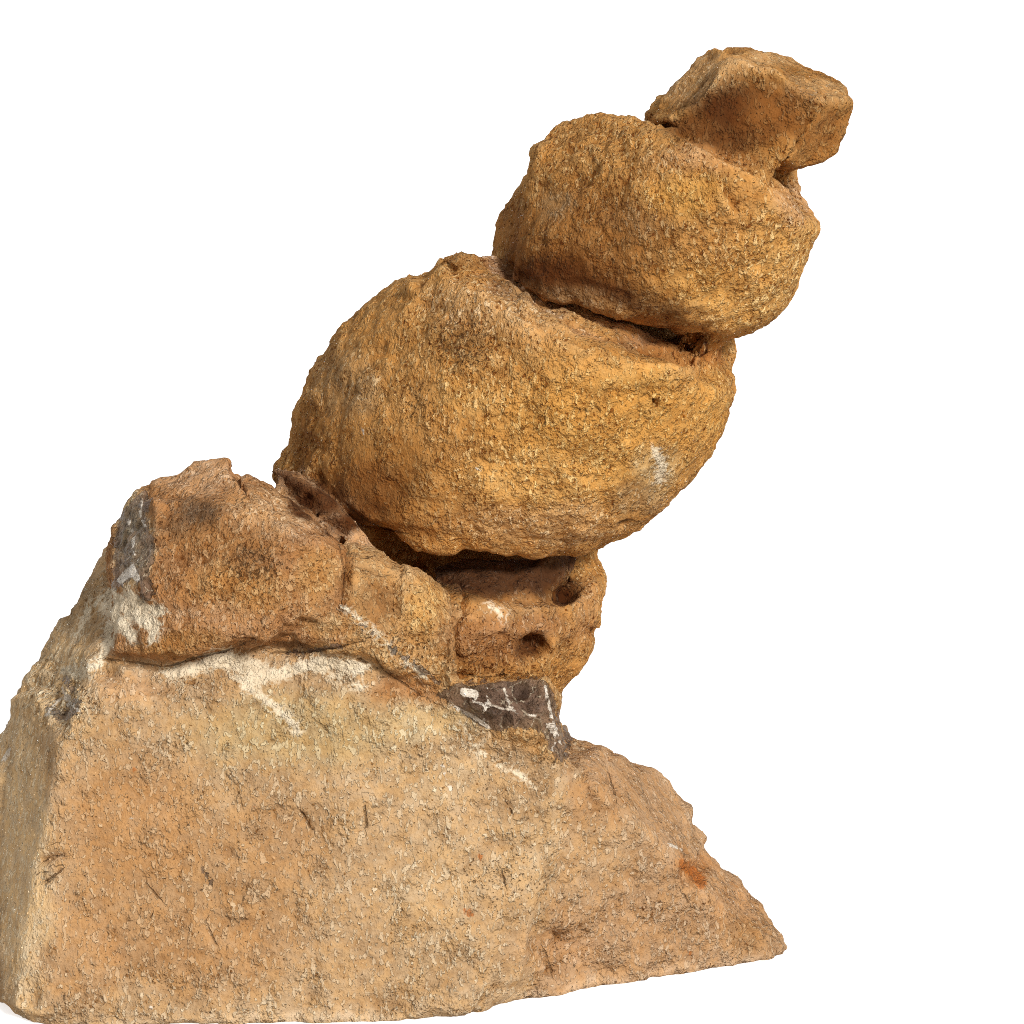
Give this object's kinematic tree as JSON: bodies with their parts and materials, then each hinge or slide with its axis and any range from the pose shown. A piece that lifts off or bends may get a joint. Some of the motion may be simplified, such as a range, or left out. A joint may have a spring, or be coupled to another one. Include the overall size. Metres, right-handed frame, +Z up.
{
  "type": "turritella fossil",
  "caption": "Internal mould of a high-spired coiled sea snail, leaning out of the rough block of sandy rock it was found in, with a flat cut base it stands on.",
  "frame": {"origin": "centre of the bounding box in plan, at the level of the flat base", "axes": "+Z up, -Y the front that shows the coil leaning to the right, +X to the right; the spire's tip points to +X, +Z and a little to -Y"},
  "size_m": [0.1554, 0.095, 0.1625],
  "materials": {
    "ochre_stone": "matte"
  },
  "bodies": {
    "root": {"turritella_fossil": "ochre_stone"}
  },
  "joints": []
}
